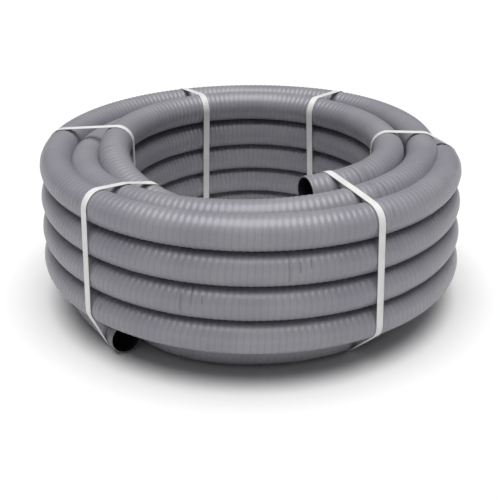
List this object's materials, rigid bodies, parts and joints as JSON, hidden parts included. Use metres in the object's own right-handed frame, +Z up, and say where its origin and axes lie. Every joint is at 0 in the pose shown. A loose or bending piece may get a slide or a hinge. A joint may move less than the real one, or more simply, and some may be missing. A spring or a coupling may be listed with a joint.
{
  "type": "sewer hose kit",
  "caption": "Long length of grey spiral-reinforced plastic waste hose, wound into a round coil several layers deep and held by flat white plastic straps, with both cut ends open.",
  "frame": {"origin": "under the centre of the coil, on the surface it stands on", "axes": "+Z up along the coil's axis; -Y towards the side where both open ends are seen; +X to the right of that view"},
  "size_m": [0.7382, 0.7372, 0.2974],
  "materials": {
    "hose": "satin",
    "strap": "satin"
  },
  "bodies": {
    "root": {"hose_inner_layer": "hose", "hose_middle_layer": "hose", "hose_outer_layer": "hose", "hose_top_turn": "hose", "hose_lowest_turn": "hose", "hose_top_end": "hose", "hose_bottom_end": "hose", "strap_right": "strap", "strap_back_right": "strap", "strap_back_left": "strap", "strap_left": "strap", "strap_front_left": "strap", "strap_front_right": "strap"}
  },
  "joints": []
}
